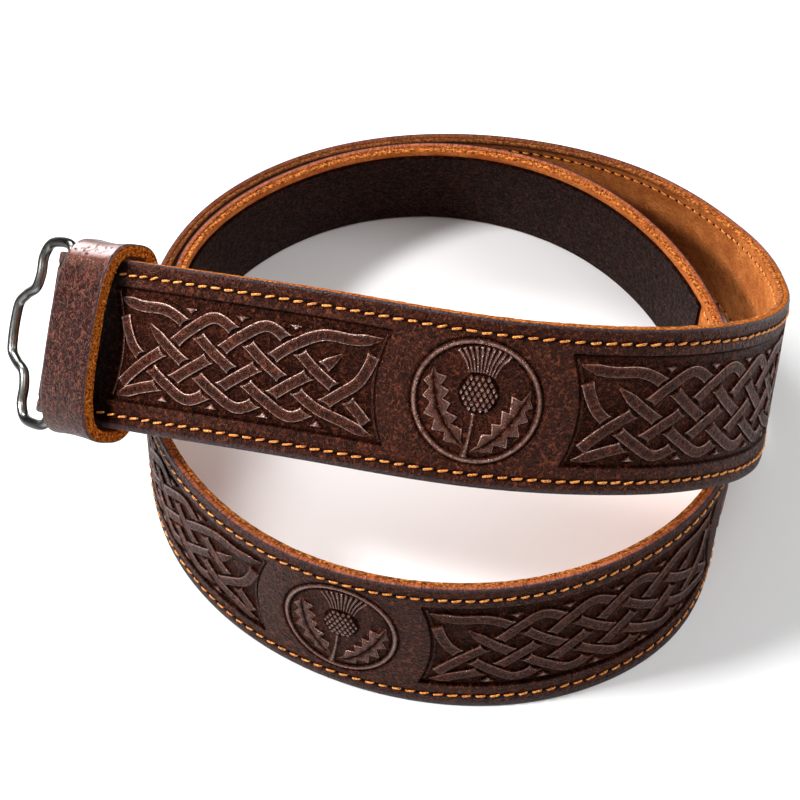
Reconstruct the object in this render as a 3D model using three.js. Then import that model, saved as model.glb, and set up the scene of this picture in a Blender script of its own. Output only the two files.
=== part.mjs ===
// A broad leather kilt belt, lying rolled up in almost two turns on a flat surface.
// The strap stands on its lower edge at the back and at the bottom front. Its buckle end rises
// over the coil's front as a leaning panel, with a wire ring in the fold and a leather keeper.
// Millimetres, +Z up, the flat surface at z = 0.

import * as THREE from 'three';

// Strap
const strapWidth = 57;
const outerLeather = 2.3;
const liningLeather = 1.6;
const layerGap = 0.3;
const edgeBevel = 0.6;
const liningInset = 0.4;

// Coil: the named sizes that the path table's shares belong to
const coilRadius = 120;
const turnClearance = 0.6;
const stationStep = 6;
const freeEndTrim = 42;

// Pressed fields between the round medallions of the outer face
const medallionPitch = 179.1;
const firstMedallion = 167.5;
const firstFieldStart = 40.5;
const fieldTopMargin = 9.2;
const fieldBottomMargin = 10.3;
const fieldDepth = 0.5;
const fieldWall = 0.9;
const medallionRadius = 20.5;
const medallionMargin = 8;

// Hook-and-loop strip on the lining of the inner turn
const loopStripThickness = 1;
const loopStripTopMargin = 4;
const loopStripBottomMargin = 0.8;
const loopStripStart = 1125.5;

// Wire ring in the strap's fold
const wireRadius = 1.9;
const ringHeight = 69;
const ringReach = 29.4;
const ringDrop = 0.9;
const ringSides = 8;
const ringSteps = 76;
const tailLength = 42;

// Keeper loop
const keeperWidth = 23;
const keeperThickness = 4.3;
const keeperPlace = 28;
const keeperClearance = 1.5;
const keeperFrontStand = 5.8;
const keeperBackStand = 7.3;
const keeperSquareness = 3;
const keeperPinch = 0.8;
const keeperSlant = 1.9;
const keeperSteps = 44;

const strapThickness = outerLeather + layerGap + liningLeather;
const foldRadius = wireRadius + layerGap + outerLeather;
const nestedInset = strapThickness + turnClearance;
const fieldHalfGap = medallionRadius + medallionMargin;

// The middle line of the outer face, from the ring to past the free end, smoothed by a B-spline.
// The strap is cut off freeEndTrim before the line's end.
// turn: angle round the coil's axis in degrees. reach: distance from it, share of coilRadius.
// nested: 1 where the strap lies inside its own outer turn. rise: height of the lower edge,
// share of strapWidth. lean: degrees by which the top edge leans inward.
const pathTable = [
  { turn: 191.8, reach: 1.068, nested: 0, rise: 1, lean: 43 },
  { turn: 205, reach: 0.915, nested: 0, rise: 1.28, lean: 42 },
  { turn: 225, reach: 0.74, nested: 0, rise: 1.44, lean: 37 },
  { turn: 255, reach: 0.645, nested: 0, rise: 1.5, lean: 35 },
  { turn: 285, reach: 0.775, nested: 0, rise: 1.56, lean: 30 },
  { turn: 310, reach: 0.99, nested: 0, rise: 1.48, lean: 26 },
  { turn: 330, reach: 1.14, nested: 0, rise: 1.09, lean: 21 },
  { turn: 346, reach: 1.165, nested: 0, rise: 0.58, lean: 2 },
  { turn: 360, reach: 1.185, nested: 0, rise: 0.25, lean: -1 },
  { turn: 378, reach: 1.255, nested: 0, rise: 0, lean: 8 },
  { turn: 402, reach: 1.195, nested: 0, rise: 0, lean: 16 },
  { turn: 435, reach: 1.045, nested: 0, rise: 0, lean: 20 },
  { turn: 470, reach: 0.97, nested: 0, rise: 0, lean: 18 },
  { turn: 505, reach: 0.925, nested: 0, rise: 0, lean: 12 },
  { turn: 540, reach: 0.84, nested: 0, rise: 0, lean: 0 },
  { turn: 575, reach: 0.925, nested: 0, rise: 0, lean: 6 },
  { turn: 610, reach: 1.02, nested: 0, rise: 0, lean: 6 },
  { turn: 645, reach: 1.135, nested: 0, rise: 0, lean: 13 },
  { turn: 675, reach: 1.215, nested: 0, rise: 0, lean: 13 },
  { turn: 700, reach: 1.115, nested: 0, rise: 0, lean: -8 },
  { turn: 735, reach: 1.09, nested: 1, rise: 0, lean: 8 },
  { turn: 770, reach: 1.065, nested: 1, rise: 0, lean: 15 },
  { turn: 805, reach: 1.015, nested: 1, rise: 0, lean: 19 },
  { turn: 840, reach: 0.95, nested: 1, rise: 0, lean: 18 },
  { turn: 880, reach: 0.92, nested: 1, rise: 0, lean: 6 },
  { turn: 925, reach: 0.76, nested: 1, rise: 0, lean: -4 },
];

// Wire ring, upper half of its centre line from the middle of the bar round to the front.
// out: distance from the bar, share of ringReach. up: share of half of ringHeight less the wire.
const ringTable = [
  { out: 0, up: 0 },
  { out: 0, up: 0.3 },
  { out: 0, up: 0.6 },
  { out: 0, up: 0.92 },
  { out: 0.07, up: 0.98 },
  { out: 0.27, up: 1 },
  { out: 0.49, up: 0.96 },
  { out: 0.595, up: 0.82 },
  { out: 0.6, up: 0.62 },
  { out: 0.66, up: 0.47 },
  { out: 0.83, up: 0.38 },
  { out: 0.965, up: 0.28 },
  { out: 1, up: 0.14 },
];

function smoothStep(value) {
  const share = THREE.MathUtils.clamp(value, 0, 1);
  return share * share * (3 - 2 * share);
}

// One closed mesh through rings of points. A ring list that isn't closed gets two end caps.
function loft(rings, closed) {
  const size = rings[0].length;
  const positions = rings.flat().flatMap((point) => [point.x, point.y, point.z]);
  const triangles = [];
  const last = closed ? rings.length : rings.length - 1;
  for (let ring = 0; ring < last; ring += 1) {
    const here = ring * size;
    const next = ((ring + 1) % rings.length) * size;
    for (let side = 0; side < size; side += 1) {
      const other = (side + 1) % size;
      triangles.push([here + side, here + other, next + other]);
      triangles.push([here + side, next + other, next + side]);
    }
  }
  if (!closed) {
    for (const [ring, flip] of [[0, true], [rings.length - 1, false]]) {
      const middle = new THREE.Vector3();
      rings[ring].forEach((point) => middle.addScaledVector(point, 1 / size));
      const centre = positions.length / 3;
      positions.push(middle.x, middle.y, middle.z);
      for (let side = 0; side < size; side += 1) {
        const from = ring * size + side;
        const to = ring * size + ((side + 1) % size);
        triangles.push(flip ? [centre, to, from] : [centre, from, to]);
      }
    }
  }
  return outwardGeometry(positions, triangles);
}

// Faces point outward when the enclosed volume is positive.
function outwardGeometry(positions, triangles) {
  const corner = (index) => new THREE.Vector3().fromArray(positions, index * 3);
  let volume = 0;
  for (const [a, b, c] of triangles) {
    volume += corner(a).dot(corner(b).cross(corner(c)));
  }
  const index = volume > 0 ? triangles.flat() : triangles.flatMap(([a, b, c]) => [a, c, b]);
  const geometry = new THREE.BufferGeometry();
  geometry.setAttribute('position', new THREE.Float32BufferAttribute(positions, 3));
  geometry.setIndex(index);
  geometry.computeVertexNormals();
  return geometry;
}

function namedMesh(name, geometry, color, roughness, metalness) {
  const material = new THREE.MeshStandardMaterial({ color, roughness, metalness });
  const mesh = new THREE.Mesh(geometry, material);
  mesh.name = name;
  return mesh;
}

// Uniform cubic B-spline over the path table's rows, the first and last row repeated.
function pathPoint(parameter) {
  const first = Math.floor(parameter);
  const f = parameter - first;
  const weights = [
    (1 - f) ** 3,
    3 * f ** 3 - 6 * f ** 2 + 4,
    -3 * f ** 3 + 3 * f ** 2 + 3 * f + 1,
    f ** 3,
  ];
  const point = { x: 0, y: 0, rise: 0, lean: 0 };
  weights.forEach((weight, offset) => {
    const row = pathTable[THREE.MathUtils.clamp(first + offset - 1, 0, pathTable.length - 1)];
    const reach = row.reach * coilRadius - row.nested * nestedInset;
    const turn = THREE.MathUtils.degToRad(row.turn);
    point.x += weight / 6 * reach * Math.cos(turn);
    point.y += weight / 6 * reach * Math.sin(turn);
    point.rise += weight / 6 * row.rise * strapWidth;
    point.lean += weight / 6 * THREE.MathUtils.degToRad(row.lean);
  });
  return point;
}

// Even samples of the path: its length so far, the face's middle, and the strap's lean and rise.
function pathSamples() {
  const count = 6000;
  const samples = [];
  let length = 0;
  for (let step = 1; step < count; step += 1) {
    const { x, y, rise, lean } = pathPoint(-1 + (pathTable.length + 1) * step / count);
    const overhang = Math.max(0, strapThickness * Math.sin(lean));
    const centre = new THREE.Vector3(x, y, rise + strapWidth / 2 * Math.cos(lean) + overhang);
    if (samples.length > 0) {
      length += centre.distanceTo(samples[samples.length - 1].centre);
    }
    samples.push({ length, centre, rise, lean });
  }
  return samples;
}

const samples = pathSamples();
const strapLength = samples[samples.length - 1].length - freeEndTrim;

function sampleAt(distance) {
  const target = THREE.MathUtils.clamp(distance, 0, strapLength);
  let low = 0;
  let high = samples.length - 1;
  while (high - low > 1) {
    const middle = Math.floor((low + high) / 2);
    if (samples[middle].length <= target) {
      low = middle;
    } else {
      high = middle;
    }
  }
  const a = samples[low];
  const b = samples[high];
  const share = (target - a.length) / (b.length - a.length);
  return {
    centre: a.centre.clone().lerp(b.centre, share),
    rise: THREE.MathUtils.lerp(a.rise, b.rise, share),
    lean: THREE.MathUtils.lerp(a.lean, b.lean, share),
  };
}

// The strap's own directions at a distance from the ring end: along it, across it and outward.
function frameAt(distance) {
  const reach = 1.5;
  const { centre, rise, lean } = sampleAt(distance);
  const before = sampleAt(distance - reach).centre;
  const after = sampleAt(distance + reach).centre;
  const along = after.clone().sub(before).normalize();
  const level = new THREE.Vector3(along.y, -along.x, 0).normalize();
  const upright = level.clone().cross(along).normalize();
  upright.multiplyScalar(Math.sign(upright.z));
  const outward = level.clone().multiplyScalar(Math.cos(lean)).addScaledVector(upright, Math.sin(lean));
  const across = upright.clone().multiplyScalar(Math.cos(lean)).addScaledVector(level, -Math.sin(lean));
  return { centre, rise, along, across, outward };
}

// A point of the strap, height measured across it from its middle line, depth from its face.
function strapPoint(frame, height, depth) {
  return frame.centre.clone()
    .addScaledVector(frame.across, height)
    .addScaledVector(frame.outward, -depth);
}

// Height of the lower edge: cut level where the strap stands on the surface, square elsewhere.
function lowerEdge(frame, depth, inset) {
  const squareRise = strapWidth / 10;
  const target = frame.rise + inset;
  const level = (target - frame.centre.z + depth * frame.outward.z) / frame.across.z;
  return THREE.MathUtils.lerp(level, inset - strapWidth / 2, Math.min(1, frame.rise / squareRise));
}

// Depth of the pressed fields at a distance from the ring end.
function fieldDepthAt(distance) {
  if (distance < firstMedallion) {
    return distance > firstFieldStart && distance < firstMedallion - fieldHalfGap ? fieldDepth : 0;
  }
  const toMedallion = (distance - firstMedallion) % medallionPitch;
  const nearest = Math.min(toMedallion, medallionPitch - toMedallion);
  return nearest > fieldHalfGap ? fieldDepth : 0;
}

// Outline of the outer leather as pairs of height and depth, face side first.
function outerOutline(frame, pressed) {
  const top = strapWidth / 2;
  const fieldTop = top - fieldTopMargin;
  const fieldBottom = fieldBottomMargin - top;
  return [
    [top - edgeBevel, 0],
    [top, edgeBevel],
    [top, outerLeather],
    [lowerEdge(frame, outerLeather, 0), outerLeather],
    [lowerEdge(frame, edgeBevel, 0), edgeBevel],
    [lowerEdge(frame, 0, 0) + edgeBevel, 0],
    [fieldBottom - fieldWall, 0],
    [fieldBottom, pressed],
    [fieldTop, pressed],
    [fieldTop + fieldWall, 0],
  ];
}

// All layers share these distances from the ring end, so that they stay parallel.
function stations(from, to) {
  const count = Math.round((strapLength - foldRadius) / stationStep);
  return Array.from({ length: count + 1 }, (_, index) => (
    THREE.MathUtils.lerp(foldRadius, strapLength, index / count)
  )).filter((distance) => distance >= from && distance <= to);
}

// Outer leather: the tail behind the lining, the fold round the ring's bar, then the whole strap.
function outerRings() {
  const rings = [];
  const settle = 10;
  const tailDepth = strapThickness + layerGap + outerLeather;
  for (const distance of stations(foldRadius, tailLength).reverse()) {
    const frame = frameAt(distance);
    const share = smoothStep((distance - foldRadius) / settle);
    const faceDepth = THREE.MathUtils.lerp(2 * foldRadius, tailDepth, share);
    rings.push(outerOutline(frame, 0).map(([height, depth]) => strapPoint(frame, height, faceDepth - depth)));
  }
  const bar = frameAt(foldRadius);
  const foldSteps = 10;
  for (let step = foldSteps - 1; step > 0; step -= 1) {
    const angle = Math.PI * step / foldSteps;
    rings.push(outerOutline(bar, 0).map(([height, depth]) => {
      const radius = foldRadius - depth;
      return strapPoint(bar, height, foldRadius)
        .addScaledVector(bar.outward, radius * Math.cos(angle))
        .addScaledVector(bar.along, -radius * Math.sin(angle));
    }));
  }
  for (const distance of stations(foldRadius, strapLength)) {
    const frame = frameAt(distance);
    const outline = outerOutline(frame, fieldDepthAt(distance));
    rings.push(outline.map(([height, depth]) => strapPoint(frame, height, depth)));
  }
  return rings;
}

// A flat layer on the strap's inner side: its four corners at one distance, near side first.
function layerRing(distance, near, far, topMargin, bottomMargin) {
  const frame = frameAt(distance);
  const top = strapWidth / 2 - topMargin;
  return [
    strapPoint(frame, top, near),
    strapPoint(frame, lowerEdge(frame, near, bottomMargin), near),
    strapPoint(frame, lowerEdge(frame, far, bottomMargin), far),
    strapPoint(frame, top, far),
  ];
}

function strapOuter() {
  return namedMesh('strap_outer', loft(outerRings(), false), 0x4a2e22, 0.5, 0);
}

function strapLining() {
  const near = outerLeather + layerGap;
  const from = 2 * foldRadius + liningLeather;
  const rings = stations(from, strapLength)
    .map((distance) => layerRing(distance, near, strapThickness, liningInset, liningInset));
  return namedMesh('strap_lining', loft(rings, false), 0xb8702f, 0.9, 0);
}

// The strip's ring starts one corner later, so that its near side splits like the lining's far side.
function loopStrip() {
  const near = strapThickness + layerGap;
  const far = near + loopStripThickness;
  const rings = stations(loopStripStart, strapLength - loopStripThickness)
    .map((distance) => layerRing(distance, near, far, loopStripTopMargin, loopStripBottomMargin))
    .map(([topNear, bottomNear, bottomFar, topFar]) => [bottomNear, topNear, topFar, bottomFar]);
  return namedMesh('loop_strip', loft(rings, false), 0x2a1c18, 0.95, 0);
}

// Wire ring: one closed tube whose straight bar lies in the fold.
function wireRing() {
  const bar = frameAt(foldRadius);
  const halfHeight = ringHeight / 2 - wireRadius;
  const upper = ringTable.map(({ out, up }) => [out * ringReach, up * halfHeight]);
  const lower = upper.slice(1).reverse().map(([out, up]) => [out, -up]);
  const points = [...upper, ...lower].map(([out, up]) => (
    strapPoint(bar, up - ringDrop, foldRadius).addScaledVector(bar.along, -out)
  ));
  const curve = new THREE.CatmullRomCurve3(points, true, 'centripetal');
  const rings = [];
  for (let step = 0; step < ringSteps; step += 1) {
    const centre = curve.getPointAt(step / ringSteps);
    const tangent = curve.getTangentAt(step / ringSteps);
    const side = bar.outward.clone().cross(tangent).normalize();
    rings.push(Array.from({ length: ringSides }, (_, index) => {
      const angle = 2 * Math.PI * index / ringSides;
      return centre.clone()
        .addScaledVector(bar.outward, wireRadius * Math.cos(angle))
        .addScaledVector(side, wireRadius * Math.sin(angle));
    }));
  }
  return namedMesh('wire_ring', loft(rings, true), 0x8c8c86, 0.35, 1);
}

// Keeper: a stiff leather band bent to a loop round the strap and its tail.
function keeperLoop() {
  const frame = frameAt(keeperPlace);
  const backDepth = strapThickness + layerGap + outerLeather + keeperBackStand;
  const halfDepth = (keeperFrontStand + backDepth) / 2;
  const middleDepth = (backDepth - keeperFrontStand) / 2;
  const halfHeight = strapWidth / 2 + keeperClearance;
  const bent = (value) => Math.sign(value) * Math.abs(value) ** (2 / keeperSquareness);
  const rings = [];
  for (let step = 0; step < keeperSteps; step += 1) {
    const angle = 2 * Math.PI * step / keeperSteps;
    const pinch = keeperPinch * Math.abs(Math.sin(angle)) ** 8;
    const corner = (side, offset) => {
      const dip = side === 0 ? pinch : 0;
      const height = (halfHeight + offset - dip) * bent(Math.sin(angle));
      const depth = middleDepth - (halfDepth + offset) * bent(Math.cos(angle));
      const slant = keeperSlant * height / halfHeight;
      return strapPoint(frame, height, depth).addScaledVector(frame.along, side * keeperWidth / 2 + slant);
    };
    rings.push([
      corner(-1, 0),
      corner(-1, keeperThickness),
      corner(0, keeperThickness),
      corner(1, keeperThickness),
      corner(1, 0),
      corner(0, 0),
    ]);
  }
  return namedMesh('keeper_loop', loft(rings, true), 0x4c2f24, 0.5, 0);
}

// The belt, with its origin in the middle of its box on the surface it lies on.
function kiltBelt() {
  const belt = new THREE.Group();
  belt.add(strapOuter(), strapLining(), loopStrip(), wireRing(), keeperLoop());
  const box = new THREE.Box3().setFromObject(belt, true);
  const centre = box.getCenter(new THREE.Vector3());
  belt.position.set(-centre.x, -centre.y, 0);
  belt.updateMatrixWorld(true);
  return belt;
}

export default kiltBelt();
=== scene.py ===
import math

import bpy
import numpy as np
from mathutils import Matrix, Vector


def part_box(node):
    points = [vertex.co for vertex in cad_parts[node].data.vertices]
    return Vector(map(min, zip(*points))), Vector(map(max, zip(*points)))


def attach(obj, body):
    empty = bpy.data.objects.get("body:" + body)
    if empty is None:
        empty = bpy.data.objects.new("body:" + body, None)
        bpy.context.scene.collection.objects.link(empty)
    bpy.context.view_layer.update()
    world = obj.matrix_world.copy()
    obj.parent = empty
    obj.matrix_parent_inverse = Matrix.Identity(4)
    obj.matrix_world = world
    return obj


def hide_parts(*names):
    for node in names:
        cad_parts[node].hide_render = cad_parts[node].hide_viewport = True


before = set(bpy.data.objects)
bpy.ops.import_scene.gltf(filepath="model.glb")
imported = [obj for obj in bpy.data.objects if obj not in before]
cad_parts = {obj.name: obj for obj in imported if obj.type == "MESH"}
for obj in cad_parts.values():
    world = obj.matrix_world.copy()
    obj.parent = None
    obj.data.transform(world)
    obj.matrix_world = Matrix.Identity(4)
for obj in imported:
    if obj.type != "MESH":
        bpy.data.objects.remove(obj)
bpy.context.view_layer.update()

# Sizes in millimetres, the same as in the CAD part. Blender objects are made in metres.
STRAP_WIDTH = 57.0
OUTER_LEATHER = 2.3
LINING_LEATHER = 1.6
LAYER_GAP = 0.3
LINING_INSET = 0.4
COIL_RADIUS = 120.0
TURN_CLEARANCE = 0.6
FREE_END_TRIM = 42.0
TAIL_LENGTH = 42.0
WIRE_RADIUS = 1.9
RING_HEIGHT = 69.0
RING_REACH = 29.4
RING_DROP = 0.9
KEEPER_WIDTH = 23.0
KEEPER_THICKNESS = 4.3
KEEPER_PLACE = 28.0
KEEPER_CLEARANCE = 1.5
KEEPER_FRONT_STAND = 5.8
KEEPER_BACK_STAND = 7.3
KEEPER_SQUARENESS = 3.0
KEEPER_PINCH = 0.8
KEEPER_SLANT = 1.9
STRIP_THICKNESS = 1.0
STRIP_TOP_MARGIN = 4.0
STRIP_BOTTOM_MARGIN = 0.8
STRIP_START = 1125.5
MEDALLION_PITCH = 179.1
FIRST_MEDALLION = 167.5

# Sizes of the tooling and the seams
MEDALLION_HEIGHT = 0.7
MEDALLION_BED = 21.6
PLAIN_END = 40.0
FIELD_TOP = 19.3
FIELD_BOTTOM = -18.2
FIELD_DEPTH = 1.05
FIELD_END_GAP = 32.0
FIELD_END_BULGE = 3.9
FIRST_FIELD_START = 41.5
BAND_WIDTH = 4.15
BAND_RISE = 1.15
BAND_GROOVE = 0.45
STITCH_MARGIN = 4.8
STITCH_PITCH = 4.75
STITCH_LENGTH = 3.35
THREAD_RADIUS = 0.4

STRAP_THICKNESS = OUTER_LEATHER + LAYER_GAP + LINING_LEATHER
FOLD_RADIUS = WIRE_RADIUS + LAYER_GAP + OUTER_LEATHER
FOLD_START = FOLD_RADIUS - math.pi * FOLD_RADIUS
TAIL_DEPTH = STRAP_THICKNESS + LAYER_GAP + OUTER_LEATHER
NESTED_INSET = STRAP_THICKNESS + TURN_CLEARANCE
HALF = STRAP_WIDTH / 2
SEAM_HEIGHT = HALF - STITCH_MARGIN

# The photo's camera: metres and degrees, its focal length in pixels of the picture's width
CAMERA_ELEVATION = 50.7
CAMERA_DISTANCE = 0.645
CAMERA_AIM_HEIGHT = 0.010
FOCAL_PIXELS = 1633
PICTURE_PIXELS = 800
SENSOR_WIDTH = 36

# turn in degrees, reach as a share of the coil's radius, nested, rise as a share of the width, lean
PATH = np.array([
    (191.8, 1.068, 0, 1.0, 43),
    (205, 0.915, 0, 1.28, 42),
    (225, 0.74, 0, 1.44, 37),
    (255, 0.645, 0, 1.5, 35),
    (285, 0.775, 0, 1.56, 30),
    (310, 0.99, 0, 1.48, 26),
    (330, 1.14, 0, 1.09, 21),
    (346, 1.165, 0, 0.58, 2),
    (360, 1.185, 0, 0.25, -1),
    (378, 1.255, 0, 0, 8),
    (402, 1.195, 0, 0, 16),
    (435, 1.045, 0, 0, 20),
    (470, 0.97, 0, 0, 18),
    (505, 0.925, 0, 0, 12),
    (540, 0.84, 0, 0, 0),
    (575, 0.925, 0, 0, 6),
    (610, 1.02, 0, 0, 6),
    (645, 1.135, 0, 0, 13),
    (675, 1.215, 0, 0, 13),
    (700, 1.115, 0, 0, -8),
    (735, 1.09, 1, 0, 8),
    (770, 1.065, 1, 0, 15),
    (805, 1.015, 1, 0, 19),
    (840, 0.95, 1, 0, 18),
    (880, 0.92, 1, 0, 6),
    (925, 0.76, 1, 0, -4),
])
PATH_SAMPLES = 6000


# Lines and the strap's own directions

def smooth_step(value):
    share = np.clip(value, 0, 1)
    return share * share * (3 - 2 * share)


def unit(v):
    return v / np.linalg.norm(v, axis=-1, keepdims=True)


def left_of(v):
    """Flat directions turned by a quarter to their left."""
    return np.stack([-v[..., 1], v[..., 0]], -1)


def stack_to(shape, *layers):
    """Layers spread to one shape and stacked as the last axis."""
    return np.stack([np.broadcast_to(layer, shape) for layer in layers], -1)


def running_length(line):
    return np.concatenate([[0], np.cumsum(np.linalg.norm(np.diff(line, axis=0), axis=1))])


def line_point(line, length, at):
    return np.stack([np.interp(at, length, column) for column in line.T], -1)


def line_direction(line, length, at, reach=0.3):
    return unit(line_point(line, length, at + reach) - line_point(line, length, at - reach))


def path_line():
    """The strap's middle line on its outer face, as in the CAD part: length, point, rise, lean."""
    turn = np.radians(PATH[:, 0])
    reach = PATH[:, 1] * COIL_RADIUS - PATH[:, 2] * NESTED_INSET
    rows = np.stack([reach * np.cos(turn), reach * np.sin(turn),
                     PATH[:, 3] * STRAP_WIDTH, np.radians(PATH[:, 4])], 1)
    u = -1 + (len(rows) + 1) * np.arange(1, PATH_SAMPLES) / PATH_SAMPLES
    first = np.floor(u).astype(int)
    f = u - first
    weights = [(1 - f) ** 3, 3 * f ** 3 - 6 * f ** 2 + 4, -3 * f ** 3 + 3 * f ** 2 + 3 * f + 1, f ** 3]
    p = sum(weights[k][:, None] / 6 * rows[np.clip(first + k - 1, 0, len(rows) - 1)] for k in range(4))
    x, y, rise, lean = p.T
    z = rise + HALF * np.cos(lean) + np.maximum(0, STRAP_THICKNESS * np.sin(lean))
    centre = np.stack([x, y, z], 1)
    return running_length(centre), centre, rise, lean


LINE_LENGTH, LINE_CENTRE, LINE_RISE, LINE_LEAN = path_line()
STRAP_LENGTH = LINE_LENGTH[-1] - FREE_END_TRIM


def strap_frame(s):
    """Middle, along, across, outward and rise of the strap at each distance s from the ring end."""
    def middle(distance):
        return line_point(LINE_CENTRE, LINE_LENGTH, np.clip(distance, 0, STRAP_LENGTH))

    reach = 1.5
    rise = np.interp(s, LINE_LENGTH, LINE_RISE)
    lean = np.interp(s, LINE_LENGTH, LINE_LEAN)[..., None]
    along = unit(middle(s + reach) - middle(s - reach))
    level = unit(np.stack([along[..., 1], -along[..., 0], 0 * along[..., 0]], -1))
    upright = unit(np.cross(level, along))
    upright = upright * np.sign(upright[..., 2:3])
    outward = level * np.cos(lean) + upright * np.sin(lean)
    across = upright * np.cos(lean) - level * np.sin(lean)
    return middle(s), along, across, outward, rise


def face_frame(s):
    """Middle, across, outward and rise. Below FOLD_RADIUS, s goes round the ring's bar and down the tail."""
    s = np.asarray(s, float)
    on_strap = np.where(s >= FOLD_RADIUS, s,
                        np.where(s >= FOLD_START, FOLD_RADIUS, FOLD_RADIUS + FOLD_START - s))
    centre, along, across, outward, rise = strap_frame(on_strap)
    angle = np.clip((FOLD_RADIUS - s) / FOLD_RADIUS, 0, math.pi)[..., None]
    turned = outward * np.cos(angle) - along * np.sin(angle)
    settle = 10
    share = smooth_step((on_strap - FOLD_RADIUS) / settle)
    depth = (2 * FOLD_RADIUS + share * (TAIL_DEPTH - 2 * FOLD_RADIUS))[..., None]
    in_fold = ((s < FOLD_RADIUS) & (s >= FOLD_START))[..., None]
    in_tail = (s < FOLD_START)[..., None]
    folded = centre - outward * FOLD_RADIUS + turned * FOLD_RADIUS
    centre = np.where(in_fold, folded, np.where(in_tail, centre - outward * depth, centre))
    outward = np.where(in_fold, turned, np.where(in_tail, -outward, outward))
    return centre, across, outward, rise


def face_point(s, h, d):
    """Point at distance s, height h above the middle line and depth d below the outer face."""
    centre, across, outward, _ = face_frame(s)
    return centre + across * np.asarray(h)[..., None] - outward * np.asarray(d)[..., None]


def lower_edge(s, d, inset):
    """Height of the lower edge at depth d: level where the strap stands, square elsewhere."""
    centre, across, outward, rise = face_frame(s)
    level = (rise + inset - centre[..., 2] + d * outward[..., 2]) / across[..., 2]
    share = np.minimum(1, rise / (STRAP_WIDTH / 10))
    return level + (inset - HALF - level) * share


def skin_heights(s, columns, inset, top):
    """Heights of a skin's columns: measured up from the lower edge, down from the top, or as they are."""
    h = np.empty(s.shape)
    for k, (kind, place, depth, *_) in enumerate(columns):
        if kind == "low":
            h[:, k] = lower_edge(s[:, k], depth, inset) + place
        else:
            h[:, k] = top - place if kind == "high" else place
    return h


# Mesh making

class Parts:
    """Collects points, faces and point values of a joined mesh."""

    def __init__(self):
        self.points = []
        self.quads = []
        self.triangles = []
        self.values = {}
        self.count = 0

    def add(self, points, quads=(), triangles=(), **values):
        """Values are spread over the points' rows and columns. The value called place is a vector."""
        for faces, kept in ((quads, self.quads), (triangles, self.triangles)):
            if len(faces):
                kept.append(faces + self.count)
        shape = points.shape[:-1]
        for name, value in values.items():
            size = (3,) if name == "place" else ()
            spread = np.broadcast_to(value, shape + size)
            self.values.setdefault(name, []).append(spread.reshape((-1, *size)))
        self.points.append(points.reshape(-1, 3))
        self.count += len(self.points[-1])

    def add_flat(self, xy, z, quads=(), triangles=(), sunk=0.0):
        """Relief that is laid on the strap later: x along it, y across it, z above the relief's floor."""
        z = np.broadcast_to(z, xy.shape[:-1])
        self.add(np.concatenate([xy, z[..., None]], -1), quads, triangles, sunk=sunk)

    def joined(self):
        """Points, quads, triangles and values, each as one array."""
        quads, triangles = (np.concatenate([np.zeros((0, size), int), *faces])
                            for size, faces in ((4, self.quads), (3, self.triangles)))
        values = {name: np.concatenate(chunks) for name, chunks in self.values.items()}
        return np.concatenate(self.points), quads, triangles, values


def grid_quads(rows, columns, wrap_rows=False, wrap_columns=True):
    index = np.arange(rows * columns).reshape(rows, columns)
    if wrap_rows:
        index = np.concatenate([index, index[:1]], 0)
    if wrap_columns:
        index = np.concatenate([index, index[:, :1]], 1)
    return np.stack([index[:-1, :-1], index[1:, :-1], index[1:, 1:], index[:-1, 1:]], -1).reshape(-1, 4)


def fan(count, first=0):
    """Triangles between a ring of points and a middle point, which comes right after the ring."""
    k = np.arange(count)
    return first + np.stack([k, (k + 1) % count, np.full(count, count)], 1)


def repeated(faces, size, count):
    """The faces of one shape of so many points, for each of its copies."""
    return (faces[None] + (np.arange(count) * size)[:, None, None]).reshape(-1, faces.shape[1])


def add_skin(parts, points, place, inward, **values):
    """A closed skin through rows of points, with a flat cap of raw fibre at both ends."""
    rows, count = points.shape[:2]
    side = -1 if inward else 1
    parts.add(points, grid_quads(rows, count)[:, ::side], place=place, **values)
    cap_values = {name: float(name == "fibre") for name in values}
    for row, turn in ((0, side), (-1, -side)):
        corners = np.concatenate([points[row], points[row].mean(0, keepdims=True)])
        parts.add(corners, triangles=fan(count)[:, ::turn],
                  place=np.concatenate([place[row], np.zeros((1, 3))]), **cap_values)


def build(name, parts, material, replaced=()):
    """One Blender object from collected parts. Point values become attributes."""
    points, quads, triangles, values = parts.joined()
    mesh = bpy.data.meshes.new(name)
    mesh.vertices.add(len(points))
    mesh.vertices.foreach_set("co", ((points + SHIFT) / 1000).astype(np.float32).ravel())
    loops = np.concatenate([quads.ravel(), triangles.ravel()]).astype(np.int32)
    mesh.loops.add(len(loops))
    mesh.loops.foreach_set("vertex_index", loops)
    starts = np.concatenate([np.arange(len(quads)) * 4, 4 * len(quads) + np.arange(len(triangles)) * 3])
    mesh.polygons.add(len(starts))
    mesh.polygons.foreach_set("loop_start", starts.astype(np.int32))
    mesh.polygons.foreach_set("use_smooth", np.ones(len(starts), bool))
    mesh.update(calc_edges=True)
    mesh.validate()
    for key, value in values.items():
        kind, field = ("FLOAT_VECTOR", "vector") if value.ndim == 2 else ("FLOAT", "value")
        attribute = mesh.attributes.new(key, kind, "POINT")
        attribute.data.foreach_set(field, value.astype(np.float32).ravel())
    obj = bpy.data.objects.new(name, mesh)
    bpy.context.scene.collection.objects.link(obj)
    mesh.materials.append(material)
    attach(obj, "root")
    if replaced:
        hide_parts(*replaced)


# Materials

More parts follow.
